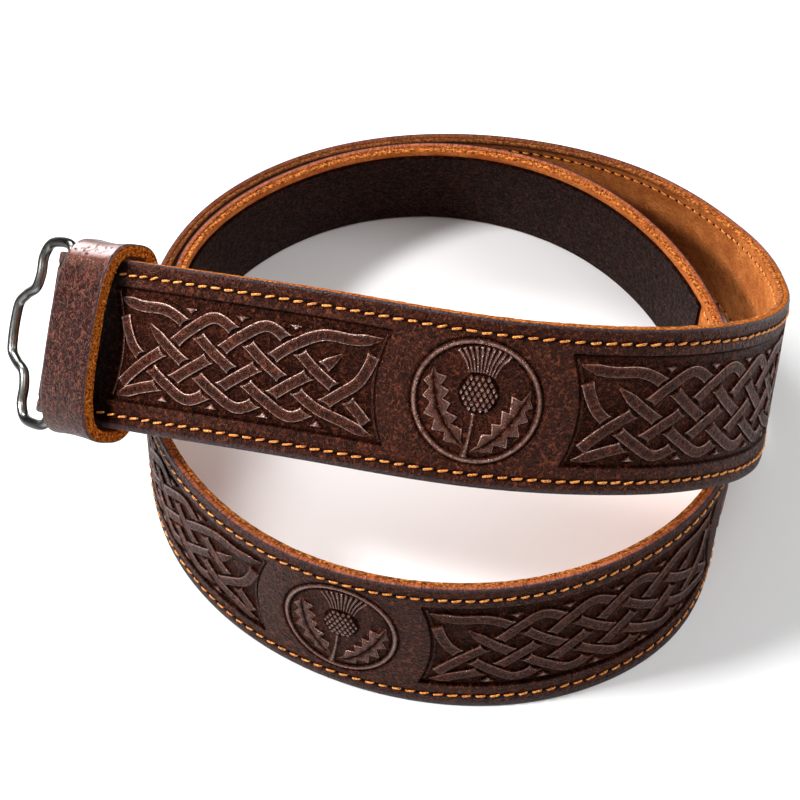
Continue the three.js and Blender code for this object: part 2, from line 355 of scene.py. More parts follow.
class Nodes:
    """Short calls for making a node material."""

    def __init__(self, name):
        self.material = bpy.data.materials.new(name)
        self.material.use_nodes = True
        self.tree = self.material.node_tree
        self.tree.nodes.clear()
        output = self.tree.nodes.new("ShaderNodeOutputMaterial")
        self.shader = self.tree.nodes.new("ShaderNodeBsdfPrincipled")
        self.put(output.inputs[0], self.shader.outputs[0])

    def put(self, socket, value):
        """Links a node's output to an input, or sets the input. A colour is given without alpha."""
        if isinstance(value, bpy.types.NodeSocket):
            self.tree.links.new(value, socket)
        else:
            socket.default_value = (*value, 1) if socket.type == "RGBA" else value

    def node(self, kind, output, inputs, **settings):
        """Makes a node from its inputs and settings, and returns one of its outputs."""
        node = self.tree.nodes.new("ShaderNode" + kind)
        for name, value in settings.items():
            setattr(node, name, value)
        for name, value in inputs.items():
            self.put(node.inputs[name], value)
        return node.outputs[output]

    def place(self):
        return self.node("Attribute", "Vector", {}, attribute_name="place")

    def value(self, name):
        return self.node("Attribute", "Fac", {}, attribute_name=name)

    def position(self):
        return self.node("TexCoord", "Object", {})

    def facing(self, blend):
        return self.node("LayerWeight", "Facing", {"Blend": blend})

    def stretch(self, vector, scale):
        return self.node("Mapping", 0, {"Vector": vector, "Scale": scale})

    def noise(self, vector, scale, detail, roughness=0.55, distortion=0.0):
        return self.node("TexNoise", "Fac", {"Vector": vector, "Scale": scale, "Detail": detail,
                                             "Roughness": roughness, "Distortion": distortion})

    def ramp(self, value, stops):
        node = self.tree.nodes.new("ShaderNodeValToRGB")
        self.put(node.inputs[0], value)
        elements = node.color_ramp.elements
        while len(elements) < len(stops):
            elements.new(0.5)
        for element, (place, color) in zip(elements, stops):
            element.position = place
            element.color = (*color, 1)
        return node.outputs[0]

    def span(self, value, low, high, new_low=0.0, new_high=1.0):
        return self.node("MapRange", 0, {"Value": value, "From Min": low, "From Max": high,
                                         "To Min": new_low, "To Max": new_high})

    def math(self, operation, a, b=0.0):
        return self.node("Math", 0, {0: a, 1: b}, operation=operation)

    def multiply(self, a, b):
        return self.math("MULTIPLY", a, b)

    def mix(self, factor, a, b):
        return self.node("Mix", 2, {0: factor, 6: a, 7: b}, data_type="RGBA")

    def mix_value(self, factor, a, b):
        return self.node("Mix", 0, {0: factor, 2: a, 3: b})

    def bump(self, height, strength, distance):
        return self.node("Bump", 0, {"Height": height, "Strength": strength, "Distance": distance})

    def finish(self, **inputs):
        """Sets the shader's inputs, whose names have _ for a space, and returns the material."""
        for name, value in inputs.items():
            self.put(self.shader.inputs[name.replace("_", " ")], value)
        return self.material


def strokes(n, place, scale, width, shift, threshold):
    """Short curved lines: where a noise passes its middle value, broken up by a second noise."""
    moved = n.node("Mapping", 0, {"Vector": place, "Location": (shift, -shift, shift * 0.7)})
    swirl = n.noise(moved, scale, 0.6, 0.5, 0.9)
    line = n.span(n.math("ABSOLUTE", n.math("SUBTRACT", swirl, 0.5)), width * 0.25, width, 1.0, 0.0)
    return n.multiply(line, n.span(n.noise(moved, scale * 1.7, 2, 0.5), threshold, threshold + 0.08))


def scaled(color, share):
    return tuple(share * c for c in color)


def leather_material(name, base, light, dark, line, painted_highlight, gloss, line_share, shine, relief):
    """Antiqued grain leather. Point values: place in mm; the antique and painted light value, above zero
    darker (antique dye in hollows plus painted shade), below zero lighter (rubbed tone plus painted
    highlight); fibre; bevel, a dark edge finish with painted sheen; pink.
    """
    # Lighter tone for raised leather: rubbed wear plus painted highlight.
    worn_and_highlit_color = (0.105, 0.027, 0.0130)
    bevel_finish_and_sheen_color = (0.050, 0.034, 0.040)
    pink_color = (0.40, 0.115, 0.062)
    n = Nodes(name)
    place = n.place()
    value, bevel, pink, fibre = (n.value(key) for key in ("sunk", "bevel", "pink", "fibre"))
    sunk = n.span(value, 0.0, 1.0)
    worn_and_highlit = n.span(value, 0.0, -1.0)
    blotch = n.noise(place, 0.12, 4, 0.62)
    grain = n.noise(place, 0.55, 5, 0.62, 0.5)
    nap = n.noise(n.position(), 1300, 4, 0.75)
    lines = n.math("MAXIMUM", strokes(n, place, 0.30, 0.033, 3.0, 0.42),
                   strokes(n, place, 0.44, 0.045, 11.0, 0.44))
    creases = n.math("MAXIMUM", strokes(n, place, 0.28, 0.045, 23.0, 0.42),
                     strokes(n, place, 0.40, 0.06, 37.0, 0.44))

    color = n.mix(n.span(blotch, 0.38, 0.62), dark, base)
    color = n.mix(n.span(grain, 0.48, 0.68, 0.0, 0.8), color, light)
    color = n.mix(n.multiply(creases, 0.95), color, scaled(dark, 0.3))
    color = n.mix(n.multiply(lines, line_share), color, line)
    # Lighter on raised tops, where the value lies between 0 and -1: rubbed tone of antiqued leather plus
    # painted highlight.
    color = n.mix(n.multiply(worn_and_highlit, n.span(grain, 0.3, 0.6, 0.5, 1.0)), color, worn_and_highlit_color)
    # Painted highlight: a pale colour where the value goes below -1, on the shoulders of bands, leaves and
    # the medallion's bar, and across the keeper's top bend.
    color = n.mix(n.multiply(n.span(value, -1.0, -3.0), n.span(grain, 0.38, 0.52)), color, painted_highlight)
    # Darker where the value is above zero: antique dye in hollows plus painted shade.
    color = n.mix(n.multiply(sunk, n.span(grain, 0.3, 0.7, 0.95, 0.6)), color, scaled(dark, 0.2))
    # Bevel: dark edge finish with a grey-purple painted sheen, where the glossy edge catches the light.
    color = n.mix(bevel, color, bevel_finish_and_sheen_color)
    color = n.mix(n.multiply(pink, n.span(grain, 0.3, 0.6, 0.35, 0.95)), color, pink_color)
    raw = n.ramp(nap, [(0.38, (0.05, 0.009, 0.002)), (0.47, (0.40, 0.090, 0.009)),
                       (0.57, (0.74, 0.19, 0.020)), (0.68, (1.0, 0.58, 0.20))])
    color = n.mix(fibre, color, raw)

    rough = n.span(grain, 0.35, 0.65, gloss + 0.14, gloss - 0.06)
    for share, roughness in ((worn_and_highlit, 0.22), (n.multiply(sunk, 0.6), 0.8), (bevel, 0.22), (pink, 0.35),
                             (fibre, 0.9)):
        rough = n.mix_value(share, rough, roughness)
    dull = n.math("MAXIMUM", n.math("MAXIMUM", sunk, fibre), n.span(n.facing(0.5), 0.45, 0.8))
    height = n.math("ADD", n.multiply(grain, 1.7), n.multiply(lines, 0.4))
    height = n.math("SUBTRACT", height, n.multiply(creases, 0.7))
    height = n.multiply(height, n.span(worn_and_highlit, 0.3, 1.0, relief, relief * 0.3))
    height = n.mix_value(fibre, height, n.multiply(nap, 2.4))
    tint = n.mix(n.math("MAXIMUM", worn_and_highlit, bevel), (1.0, 0.46, 0.34), (1.0, 0.88, 0.82))
    return n.finish(Base_Color=color, Roughness=rough, Specular_Tint=tint,
                    Specular_IOR_Level=n.mix_value(dull, n.mix_value(worn_and_highlit, shine, 1.0), 0.03),
                    Normal=n.bump(height, 1.0, 0.0006))


def suede_material():
    """Tan suede. Point values: place in mm, fibre at the raw edges, and a value for painted shade on the
    upper edge between the coil's turns and on the low front part.
    """
    n = Nodes("lining_suede")
    place = n.place()
    blotch = n.noise(place, 0.09, 4, 0.6)
    nap = n.noise(n.stretch(place, (0.8, 1.2, 1)), 0.8, 7, 0.72, 1.0)
    fine = n.noise(n.position(), 2600, 3, 0.7)
    speck = n.noise(n.position(), 900, 5, 0.75)
    color = n.mix(n.span(blotch, 0.36, 0.64), (0.50, 0.120, 0.018), (0.82, 0.265, 0.058))
    color = n.mix(n.span(nap, 0.36, 0.56), n.mix(0.75, color, (0.24, 0.045, 0.007)), color)
    color = n.mix(n.multiply(strokes(n, place, 0.5, 0.05, 5.0, 0.46), 0.6), color, (0.20, 0.036, 0.005))
    raw = n.ramp(speck, [(0.40, (0.05, 0.009, 0.0015)), (0.50, (0.34, 0.078, 0.010)),
                         (0.62, (0.86, 0.31, 0.070))])
    color = n.mix(n.value("fibre"), color, raw)
    # Near black where painted shade lies on the edge.
    color = n.mix(n.value("dim"), color, (0.030, 0.006, 0.002))
    return n.finish(Base_Color=color, Roughness=0.88, Specular_IOR_Level=0.1, Sheen_Weight=0.1,
                    Sheen_Roughness=0.5, Sheen_Tint=(1.0, 0.6, 0.3),
                    Normal=n.bump(n.math("ADD", nap, n.multiply(fine, 0.5)), 1.0, 0.0007))


def strip_material():
    """Near-black loop fabric with fine wrinkles across it."""
    n = Nodes("loop_fabric")
    place = n.place()
    wrinkles = []
    for scale, stretch in ((0.42, 0.45), (0.6, 0.6)):
        folds = n.noise(n.stretch(place, (1.0, stretch, 1)), scale, 1.5, 0.5, 1.4)
        wrinkles.append(n.span(n.math("ABSOLUTE", n.math("SUBTRACT", folds, 0.5)), 0.0, 0.06))
    ridge = n.math("MINIMUM", *wrinkles)
    patch = n.noise(place, 0.8, 4, 0.65)
    color = n.mix(n.span(patch, 0.44, 0.58), (0.0100, 0.0034, 0.0024), (0.052, 0.0155, 0.0098))
    color = n.mix(ridge, (0.0012, 0.0005, 0.0004), color)
    height = n.math("ADD", n.multiply(ridge, 0.7), n.multiply(patch, 1.2))
    return n.finish(Base_Color=color, Roughness=n.span(patch, 0.35, 0.65, 0.6, 0.38),
                    Specular_Tint=(1.0, 0.6, 0.5), Specular_IOR_Level=0.035,
                    Normal=n.bump(height, 1.0, 0.0008))


def steel_material():
    """Lightly brushed wire, with a painted darkening towards its outline that stands in for dark reflections
    at its edges.
    """
    n = Nodes("ring_steel")
    place = n.place()
    brush = n.noise(n.stretch(place, (0.25, 6.0, 6.0)), 1.0, 4, 0.6)
    cloud = n.noise(place, 0.25, 3, 0.6)
    color = n.mix(n.span(cloud, 0.35, 0.7), (0.26, 0.26, 0.245), (0.44, 0.43, 0.41))
    # Painted reflection: near black where the wire's surface turns away from the view.
    color = n.mix(n.span(n.facing(0.45), 0.06, 0.38), color, (0.018, 0.017, 0.016))
    return n.finish(Base_Color=color, Metallic=1.0, Roughness=n.span(brush, 0.3, 0.7, 0.2, 0.36),
                    Normal=n.bump(brush, 0.15, 0.0001))


def thread_material():
    n = Nodes("thread")
    twist = n.noise(n.place(), 2.2, 3, 0.6)
    color = n.ramp(twist, [(0.38, (0.20, 0.034, 0.003)), (0.5, (0.74, 0.19, 0.012)),
                           (0.62, (1.0, 0.52, 0.08))])
    return n.finish(Base_Color=color, Roughness=0.5, Sheen_Weight=0.15, Normal=n.bump(twist, 0.5, 0.0001))


def hole_material():
    n = Nodes("stitch_hole")
    # Near black: painted shade standing in for the depth of the needle holes.
    color = n.mix(n.noise(n.place(), 1.5, 3, 0.6), (0.003, 0.001, 0.0008), (0.010, 0.003, 0.002))
    return n.finish(Base_Color=color, Roughness=0.9, Specular_IOR_Level=0.05)


# The fifth colour of each is the pale colour of the painted highlight.
STRAP_LEATHER = leather_material(
    "strap_leather", base=(0.030, 0.0058, 0.0028), light=(0.062, 0.0140, 0.0065),
    dark=(0.0135, 0.0027, 0.0015), line=(0.190, 0.048, 0.022), painted_highlight=(0.80, 0.50, 0.41),
    gloss=0.33, line_share=0.72, shine=0.22, relief=1.15)
KEEPER_LEATHER = leather_material(
    "keeper_leather", base=(0.019, 0.0040, 0.0029), light=(0.030, 0.0066, 0.0046),
    dark=(0.0145, 0.0034, 0.0026), line=(0.140, 0.038, 0.023), painted_highlight=(0.62, 0.50, 0.50),
    gloss=0.25, line_share=0.8, shine=0.17, relief=0.2)


# Where the pressed fields and medallions lie: the fields' two ends follow arcs round the medallions

def medallion_places():
    count = int((STRAP_LENGTH - PLAIN_END - FIRST_MEDALLION) // MEDALLION_PITCH) + 1
    return FIRST_MEDALLION + MEDALLION_PITCH * np.arange(count)


def field_places():
    """Start and end of each pressed field on the strap's middle line."""
    starts = np.concatenate([[FIRST_FIELD_START], MEDALLIONS + FIELD_END_GAP])
    ends = np.append(MEDALLIONS, MEDALLIONS[-1] + MEDALLION_PITCH) - FIELD_END_GAP
    return list(zip(starts, ends))


MEDALLIONS = medallion_places()
FIELDS = field_places()


def end_bulge(h):
    """How far a field's end at height h lies towards its medallion. It fades out towards the seams."""
    share = np.clip(np.abs(h) / 18.7, 0, 1) ** 2
    fade = np.clip((24.5 - np.abs(h)) / 4.5, 0, 1)
    return FIELD_END_BULGE * share * fade


def bend(s, h):
    """Shifts a straight row of points so that rows at a field's ends follow the arcs."""
    first_reach = 14
    shift = np.zeros(np.broadcast(s, h).shape)
    for start, end in FIELDS:
        low = start - (FIELD_END_GAP if start > FIRST_MEDALLION else first_reach)
        marks = [low, start, (start + end) / 2, end, end + FIELD_END_GAP]
        shift += np.interp(s, marks, [0, -1, 0, 1, 0]) * end_bulge(h)
    return shift


# The wall at a field's ends: distance in from the end, share of the depth
FIELD_WALL = [(0, 0), (0.35, 0.6), (0.75, 1)]


def field_share(s):
    """1 inside a pressed field, 0 outside, with a steep wall at its ends."""
    steps = [step for step, _ in FIELD_WALL]
    shares = [share for _, share in FIELD_WALL]
    total = np.zeros(np.shape(s))
    for start, end in FIELDS:
        marks = [start + step for step in steps] + [end - step for step in reversed(steps)]
        total = np.maximum(total, np.interp(s, marks, shares + shares[::-1]))
    return total


def strap_rows():
    """Distances of the point rows along the outer leather, the tail's and the fold's included."""
    tail = np.linspace(FOLD_START - (TAIL_LENGTH - FOLD_RADIUS), FOLD_START, 14)[:-1]
    fold = np.linspace(FOLD_START, FOLD_RADIUS, 18)[:-1]
    strap = np.linspace(FOLD_RADIUS, STRAP_LENGTH, 1230)
    steps = [-0.3, *(step for step, _ in FIELD_WALL), 1.3]
    exact = np.array([place + sign * step for start, end in FIELDS
                      for place, sign in ((start, 1), (end, -1)) for step in steps])
    near = np.abs(strap[:, None] - exact[None]).min(1)
    return np.concatenate([tail, fold, np.sort(np.concatenate([strap[near > 0.4], exact]))])


# Shares along the strap, by the distance from the ring end

def stretch_share(s, start, end, blend):
    return smooth_step((s - start) / blend) * smooth_step((end - s) / blend)


def turn_edge_painted_shade(s):
    """1 where the outer turn's edge gets painted shade, at the back and left of the coil."""
    return stretch_share(s, 400, 800, 90)


def low_front_painted_shade(s):
    """1 on the low front part of the coil, which gets painted shade: darker and duller."""
    return stretch_share(s, 740, 1090, 60)


def raw_edge(s):
    """1 on the front panel, where the outer leather's edge shows raw orange fibres over a dark bevel."""
    return 1 - smooth_step((s - 330) / 60)


def behind_keeper(s):
    """1 on the face behind the keeper, which lies in the dark."""
    return np.clip((50 - s) / 9, 0, 1) * np.clip((s - 15) / 3, 0, 1)


def wear_and_highlight_share(s):
    """How strongly the rubbed tone and painted highlight on raised leather are laid on: most near the ring,
    least on the low front part.
    """
    return 1 + 0.5 * (1 - smooth_step((s - 100) / 60)) - 0.2 * low_front_painted_shade(s)


# Strength of the painted shade on the low front part.
LOW_FRONT_PAINTED_SHADE = 0.22

# Rounded edge: distance from the edge, depth. Seam groove: distance from its middle, depth.
ROUNDED_EDGE = [(0.0, 2.33), (0.0, 1.35), (0.03, 0.9), (0.2, 0.42), (0.5, 0.13)]
OUTER_GROOVE = [(-0.8, 0.14), (-0.4, 0.3), (0, 0.34), (0.4, 0.3), (0.8, 0.14)]
LINING_GROOVE = [(-0.4, 0.12), (0, 0.22), (0.4, 0.12)]

# Depth of a field's floor, and of the bed under a medallion
FLOOR_DEPTH = 1.0


def outer_columns():
    """Columns across the outer leather: what the place is measured from, place, depth, depth in a field."""
    def face(places, pressed=0.0):
        return [("middle", place, 0.0, pressed) for place in places]

    def groove(height):
        return [("middle", height + step, depth, depth) for step, depth in OUTER_GROOVE]

    def edge(kind):
        return [(kind, place, depth, depth) for place, depth in ROUNDED_EDGE]

    lower_wall = face([-18.6], 0.5) + face([FIELD_BOTTOM], FIELD_DEPTH) + face([-17.6], 0.98)
    upper_wall = face([18.7], 0.98) + face([FIELD_TOP], FIELD_DEPTH) + face([19.7], 0.5)
    return (edge("low") + [("low", 1.1, 0.0, 0.0)] + face([-26.2, -25.0]) + groove(-SEAM_HEIGHT)
            + face([-22.4, -21.0, -19.6, -18.95]) + lower_wall
            + face(np.linspace(-16.6, 17.7, 25), FLOOR_DEPTH)
            + upper_wall + face([20.05, 20.7, 22.0, 22.4]) + groove(SEAM_HEIGHT)
            + face([25.0, 26.2, 27.3]) + edge("high")[::-1])


def strap_skin():
    """The outer leather: tail, fold and strap, with edges, seam grooves and pressed fields."""
    s = strap_rows()
    columns = outer_columns()
    place, depth, pressed = np.array([column[1:] for column in columns]).T
    edge = np.array([column[0] != "middle" for column in columns])
    share = field_share(s)[:, None]
    h = skin_heights(np.broadcast_to(s[:, None], (len(s), len(columns))), columns, 0, HALF)
    d = depth + (pressed - depth) * share
    along = s[:, None] + bend(s[:, None], h)
    for middle in MEDALLIONS:
        d = np.where(np.hypot(along - middle, h - MEDALLION_HEIGHT) < MEDALLION_BED, d + FLOOR_DEPTH, d)

    # Darker on the fields' floors and walls and in the seam grooves: antique dye in hollows plus painted
    # shade.
    on_floor = (place > -17.9) & (place < 19.0)
    wall = np.where(pressed > depth, np.where(on_floor, 0.35, 0.95), 0)
    sunk = np.where(share < 1, np.minimum(share * 3, 0.95) * (wall > 0), wall)
    # Painted shade on the face behind the keeper.
    sunk = np.maximum(sunk, behind_keeper(s)[:, None])
    raw = raw_edge(s)[:, None]
    # Painted shade on the outer turn's edge: less fibre and pink, more darkening.
    dull = turn_edge_painted_shade(s)[:, None]
    side = edge & (depth > 0.8)
    fibre = np.where(edge & (depth > 2), 1.0, np.where(side, raw, 0))
    pink = np.where(side & (depth < 2), 1 - raw, 0)
    sunk = np.maximum(sunk, 0.45 * dull * (fibre + pink)) + LOW_FRONT_PAINTED_SHADE * low_front_painted_shade(s)[:, None]
    parts = Parts()
    add_skin(parts, face_point(along, h, d), np.stack([along, h, 0 * h], -1), False,
             sunk=np.maximum(sunk, np.where(edge, 0, 2 * depth)), fibre=fibre * (1 - 0.6 * dull),
             pink=pink * (1 - 0.6 * dull), bevel=np.where(edge & (depth < 0.8), 0.85, 0))
    return parts


# Relief on the strap's face

def mirrored(half):
    """A cross section from its half, as three arrays: place across, height and a third value."""
    return np.array([(-place, height, value) for place, height, value in half[:0:-1]] + half).T


# Cross sections: place across as a share of half the width, height as a share of the rise, and the antique
# and painted light value: painted shade at the foot, rubbed tone with painted highlight on the top and
# shoulders
BAND = mirrored([(0, 1, 0), (0.35, 1, 0), (0.7, 0.93, -0.3), (0.84, 0.82, -1.9),
                 (0.94, 0.55, 0.3), (1, -0.1, 1)])
STEM = mirrored([(0, 1, -1.6), (0.8, 0.6, 0.2), (1, -0.1, 1)])
LINE_STEPS = 24


def smooth_line(points):
    """Centripetal Catmull-Rom line: its points, their distances and those of the given points."""
    p = np.asarray(points, float)
    p = np.concatenate([[2 * p[0] - p[1]], p, [2 * p[-1] - p[-2]]])
    line = []
    for first in range(len(p) - 3):
        corners = p[first:first + 4]
        gaps = np.maximum(np.linalg.norm(np.diff(corners, axis=0), axis=1), 1e-6) ** 0.5
        knots = np.concatenate([[0], np.cumsum(gaps)])
        t = np.linspace(knots[1], knots[2], LINE_STEPS, endpoint=False)[:, None]

        def between(low, high, a, b):
            share = knots[high] - knots[low]
            return (knots[high] - t) / share * a + (t - knots[low]) / share * b

        sides = [between(k, k + 1, corners[k], corners[k + 1]) for k in range(3)]
        middles = [between(k, k + 2, sides[k], sides[k + 1]) for k in range(2)]
        line.append(between(1, 2, *middles))
    line = np.concatenate(line + [p[-2:-1]])
    length = running_length(line)
    return line, length, length[::LINE_STEPS]


def ribbon(relief, line, length, start, end, width, rise, section=BAND, base=0.0, step=0.9, end_wall=0.28):
    """A band along a line. start and end: a distance for each column. width: distances and widths."""
    columns, profile, sunk = section
    start = np.broadcast_to(start, columns.shape)
    end = np.broadcast_to(end, columns.shape)
    span = float((end - start).mean())
    if span < 0.8:
        return
    inner = max(2, int(round((span - 2 * end_wall) / step)) + 1)
    share = np.linspace(0, 1, inner)[:, None]
    middle = (start + end_wall) + share * (end - start - 2 * end_wall)
    along = np.concatenate([start[None], middle, end[None]])
    near = np.minimum(along - along[:1], along[-1:] - along)
    wide = np.interp(along, *width) / 2 * (1 + 0.16 * np.exp(-near / 0.8))
    sideways = left_of(line_direction(line, length, along))
    xy = line_point(line, length, along) + sideways * (wide * columns)[..., None]
    z = np.tile(profile * rise, (len(along), 1))
    z = np.where(z > 0, z * np.minimum(1, wide / (max(width[1]) / 2) * 1.6), z)
    z[0] = z[-1] = -0.1
    shade = np.tile(sunk, (len(along), 1))
    # Painted shade on the band's end walls, painted highlight just inside them.
    shade[0] = shade[-1] = 1
    shade[1] = shade[-2] = np.minimum(shade[1], -0.8)
    relief.add_flat(xy, base + z, grid_quads(len(along), len(columns), wrap_columns=False), sunk=shade)


def pillow(relief, outline, rise, base=0.0):
    """A small raised shape from a star-shaped outline."""
    centre = outline.mean(0)
    if (left_of(outline - centre) * (np.roll(outline, -1, 0) - centre)).sum() < 0:
        outline = outline[::-1]
    # Rings: reach, height, and darkening value: painted shade at the foot, rubbed tone and painted highlight
    # towards the top.
    rings = [(1.0, -0.1, 1.0), (0.86, 0.7 * rise, -0.2), (0.5, rise, -1.0)]
    count = len(outline)
    xy = np.concatenate([centre + (outline - centre) * reach for reach, _, _ in rings] + [centre[None]])
    z = np.append(np.repeat([height for _, height, _ in rings], count), rise)
    shade = np.append(np.repeat([sunk for _, _, sunk in rings], count), -1.7)
    top = fan(count, (len(rings) - 1) * count)
    relief.add_flat(xy, base + z, grid_quads(len(rings), count)[:, ::-1], top, shade)


def dome(relief, xy, middle, z, sunk):
    """A round raised shape from rings of points, closed by a fan at its middle."""
    rings, count = xy.shape[:2]
    relief.add_flat(xy, z[:, None], grid_quads(rings, count)[:, ::-1], sunk=np.reshape(sunk, (-1, 1)))
    relief.add_flat(np.concatenate([xy[-1], [middle]]), z[-1], triangles=fan(count), sunk=np.ravel(sunk)[-1])


# The plait's lattice: how far down the field its rows -1 to 6 lie, of which 0 to 5 hold crossings. Each
# strand's end: its places (column, row) before its first crossing, that crossing, its step and its form.
LATTICE_ROWS = [0.01, 0.14, 0.27, 0.46, 0.62, 0.785, 0.9, 1.2]
LAST_ROW = 5
STRAND_ENDS = [
    ([(-0.12, -0.4), (0.85, -0.05)], (2, 0), 1, "tip"),
    ([(0.0, 0.75), (0.08, 1.45), (0.38, 2.25)], (1, 3), 1, "cut"),
    ([(0.0, 5.2), (0.95, 4.72)], (2, 4), -1, "tip"),
    ([(0.12, 4.55), (0.38, 3.85)], (1, 3), -1, "cut"),
    ([(1.12, 1.05)], (2, 2), 1, "tip"),
]
END_WIDTH = {"tip": 0.5, "cut": BAND_WIDTH}
TIP_LENGTH = 5.5
LATTICE_COLUMN = 9.0
LATTICE_INSET = 3.1
WEDGE = np.array([(-3.0, 1.9), (0, 2.1), (3.0, 1.9), (1.35, 1.2), (0.1, -0.35), (-1.35, 1.2)])


def knot_strands(n):
    """Strands of a five-strand plait, n columns long: lattice places, crossings and the two ends' form."""
    flipped = n % 2 == 1
    strands = []
    for before, (first, j), step, first_form in STRAND_ENDS:
        places = list(before)
        nodes = []
        for i in range(first, n):
            nodes.append((len(places), i, j, step))
            places.append((float(i), float(j)))
            row, going = (LAST_ROW - j, -step) if flipped else (j, step)
            endings = [(outer, form) for outer, crossing, turn, form in STRAND_ENDS
                       if crossing == (n - i, row) and turn == -going]
            if endings:
                outer, last_form = endings[0]
                places += [(n - x, LAST_ROW - y if flipped else y) for x, y in reversed(outer)]
                break
            if j in (0, LAST_ROW):
                step = 1 if j == 0 else -1
            j += step
        strands.append((places, nodes, first_form, last_form))
    return strands


def knot_relief(start, end):
    """The plait of one pressed field, between its two arc-shaped ends."""
    columns = int(round((end - start - 5.0) / LATTICE_COLUMN))
    relief = Parts()

    def to_field(places):
        column, row = np.array(places, float).T
        down = np.interp(row, np.arange(-1, LAST_ROW + 2), LATTICE_ROWS)
        y = FIELD_TOP - down * (FIELD_TOP - FIELD_BOTTOM)
        low = start - end_bulge(y) + LATTICE_INSET
        high = end + end_bulge(y) - LATTICE_INSET
        return np.stack([low + (high - low) * column / columns, y], 1)

    strands = []
    over = {}
    for places, nodes, *forms in knot_strands(columns):
        line, length, marks = smooth_line(to_field(places))
        under = []
        for index, i, j, step in nodes:
            if 0 < j < LAST_ROW:
                if (step == -1) == (j % 2 == 1):
                    over[(i, j)] = line_direction(line, length, marks[index])
                else:
                    under.append((marks[index], (i, j)))
        strands.append((line, length, under, forms))

    across = BAND[0]
    half = BAND_WIDTH / 2
    concave = 0.75 * (1 - across ** 2)
    for line, length, under, forms in strands:
        total = length[-1]
        first, last = (END_WIDTH[form] for form in forms)
        width = ([0, TIP_LENGTH, total - TIP_LENGTH, total], [first, BAND_WIDTH, BAND_WIDTH, last])
        begin = 0
        for mark, crossing in under:
            if crossing in over:
                ahead = line_direction(line, length, mark)
                normal = left_of(over[crossing])
                slope = ahead @ normal
                reach = (half + BAND_GROOVE) / abs(slope)
                skew = across * half * (left_of(ahead) @ normal) / slope
                ribbon(relief, line, length, begin, mark - reach - skew - concave, width, BAND_RISE)
                begin = mark + reach - skew + concave
        ribbon(relief, line, length, begin, total, width, BAND_RISE)

    for column in range(2, columns - 1):
        row, side = (0, 1) if column % 2 else (LAST_ROW, -1)
        pillow(relief, WEDGE * (1, side) + to_field([(column, row)])[0], BAND_RISE * 0.85)
    y = np.linspace(FIELD_BOTTOM + 1.2, FIELD_TOP - 1.2, 14)
    for place, sign in ((start, -1), (end, 1)):
        line, length, _ = smooth_line(np.stack([place + sign * (end_bulge(y) - 1.5), y], 1))
        ribbon(relief, line, length, 0, length[-1], ([0, length[-1]], [0.75, 0.75]), 0.45)
    return relief


# A leaf's cross section from the midrib to the outline: place, height as a share of the rise, and the
# antique and painted light value: painted shade in the midrib and at the outline's foot, rubbed tone on the
# top, painted highlight along the outline's shoulder
LEAF = np.array([(0, 0.5, 0.9), (0.16, 0.92, 0), (0.42, 1, -0.5), (0.74, 0.86, -0.7),
                 (0.92, 0.5, -2), (1, -0.1, 1)]).T
LEAF_STEPS = 110

# Leaves in mm from the medallion's middle: the midrib from foot to tip, and for each of its two
# sides the lobes' tips with their place along the midrib as a share of it.
LEAVES = [
    ([(-1.8, -16.8), (-4.8, -13.2), (-8.6, -8.7), (-11.5, -3.8), (-12.9, 1.1), (-13.9, 5.9), (-14.2, 9.8)],
     [(0.24, -9.0, -14.4), (0.41, -13.3, -11.4), (0.58, -16.4, -6.4), (0.74, -17.3, -0.4),
      (0.88, -17.3, 4.8)],
     [(0.28, -3.1, -9.6), (0.44, -4.9, -5.7), (0.60, -7.6, -1.4), (0.75, -8.2, 2.6), (0.89, -9.4, 7.2)]),
    ([(-1.2, -17.4), (2.6, -15.2), (7.0, -11.6), (10.3, -7.6), (13.2, -2.9), (15.2, 1.4), (16.8, 5.4)],
     [(0.30, 2.6, -10.4), (0.46, 5.4, -6.4), (0.62, 8.2, -1.6), (0.80, 10.8, 3.6)],
     [(0.25, 6.6, -16.6), (0.41, 11.2, -14.6), (0.57, 15.0, -10.4), (0.73, 17.2, -4.8), (0.88, 18.0, 0.0)]),
]


def leaf(relief, midrib, sides, rise, base):
    """A spiny leaf: each side is spanned between its midrib and the outline through its lobes."""
    columns, profile, sunk = LEAF
    line, length, _ = smooth_line(midrib)
    share = np.linspace(0, 1, LEAF_STEPS)
    last = LEAF_STEPS - 1
    rib = line_point(line, length, share * length[-1])
    ahead = unit(np.gradient(rib, axis=0))
    for turn, tips in zip((1, -1), sides):
        side = turn * left_of(ahead)
        spread = [abs((np.array(tip) - rib[int(here * last)]) @ side[int(here * last)])
                  for here, *tip in tips] + [1.6]
        foot = int(round(0.45 * tips[0][0] * last))
        places = [0.0, share[foot]]
        outline = [rib[0], rib[foot] + side[foot] * 0.9]
        for k, (here, *tip) in enumerate(tips):
            after = tips[k + 1][0] if k + 1 < len(tips) else 1.0
            valley = here + 0.3 * (after - here)
            at = int(round(valley * last))
            places += [here, valley]
            outline += [tip, rib[at] + side[at] * max(1.0, 0.46 * min(spread[k:k + 2]))]
        places.append(1.0)
        outline.append(rib[-1] + ahead[-1] * 0.3)
        rim = line_point(np.array(outline), places, share)
        wide = np.linalg.norm(rim - rib, axis=1)[:, None]
        xy = rib[:, None] + columns[:, None] * (rim - rib)[:, None]
        z = profile * rise * np.clip(wide / 1.6, 0.35, 1)
        quads = grid_quads(LEAF_STEPS, len(columns), wrap_columns=False)[:, ::turn]
        relief.add_flat(xy, base + z, quads, sunk=sunk)


